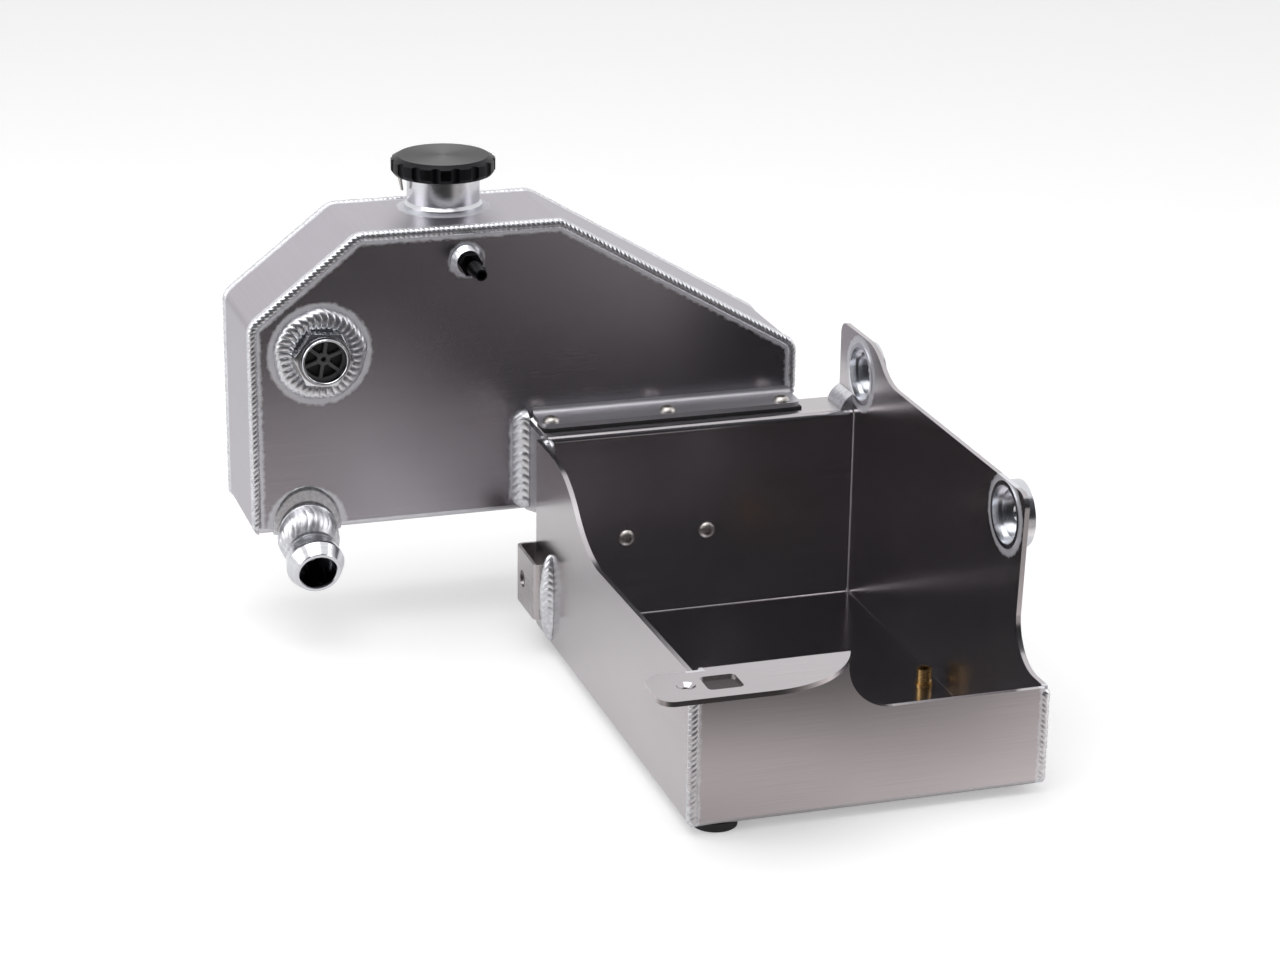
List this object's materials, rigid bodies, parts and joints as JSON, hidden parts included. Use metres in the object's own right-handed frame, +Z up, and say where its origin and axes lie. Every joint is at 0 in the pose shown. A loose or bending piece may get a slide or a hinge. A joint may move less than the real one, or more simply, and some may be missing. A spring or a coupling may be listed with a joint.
{
  "type": "coolant tank with tray",
  "caption": "Welded aluminium coolant tank with capped filler neck, level port, vent and hose outlet, bolted behind an open folded tray with bolt cups and a front flange.",
  "frame": {"origin": "middle of the underside of the front left floor pad", "axes": "+X along the tray's front edge to the right, +Y from the tray towards the tank, +Z up"},
  "size_m": [0.3974, 0.4688, 0.2965],
  "materials": {
    "sheet": "satin, fine grain",
    "weld": "rippled weld bead",
    "turned": "turned",
    "bracket": "satin",
    "black_metal": "black anodised, turned",
    "steel": "bright",
    "rubber": "matt",
    "brass": "machined"
  },
  "bodies": {
    "tank_assembly": {"tank_front_panel": "sheet", "tank_wrap": "sheet", "tank_back_panel": "sheet", "tank_step_panel": "sheet", "tank_bottom_panel": "sheet", "joint_strip": "sheet", "tray_floor": "sheet", "tray_left_wall": "sheet", "tray_right_wall": "sheet", "tray_front_wall": "sheet", "tray_back_wall": "sheet", "tray_lip": "sheet", "tray_flange": "sheet", "front_weld": "weld", "back_weld": "weld", "step_weld": "weld", "level_port_weld": "weld", "outlet_weld": "weld", "front_left_weld": "weld", "front_right_weld": "weld", "back_left_weld": "weld", "back_right_weld": "weld", "clip_weld": "weld", "filler_neck": "turned", "level_port_boss": "turned", "level_port_fitting": "turned", "level_port_insert": "turned", "vent_boss": "turned", "outlet_spigot": "turned", "rear_cup": "turned", "front_cup": "turned", "clip_bracket": "bracket", "vent_fitting": "black_metal", "strip_screws": "steel", "strip_nuts": "steel", "wall_screws": "steel", "wall_nuts": "steel", "strip_gasket": "rubber", "floor_pads": "rubber", "drain_fitting": "brass", "drain_nut": "brass"},
    "cap_valve": {"cap_plunger": "steel", "cap_plunger_seal": "rubber", "cap_spring": "steel", "cap_upper_seal": "rubber"},
    "cap_top": {"cap_cover": "black_metal", "cap_tab_plate": "steel"}
  },
  "joints": [
    {"name": "cap_lift", "type": "slide", "parent": "tank_assembly", "child": "cap_valve", "axis": [0, 0, 1], "range_m": [0, 0.04]},
    {"name": "cap_turn", "type": "hinge", "parent": "cap_valve", "child": "cap_top", "pos_m": [-0.057, 0.38, 0.263], "axis": [0, 0, 1], "range_deg": [-75, 0]}
  ]
}
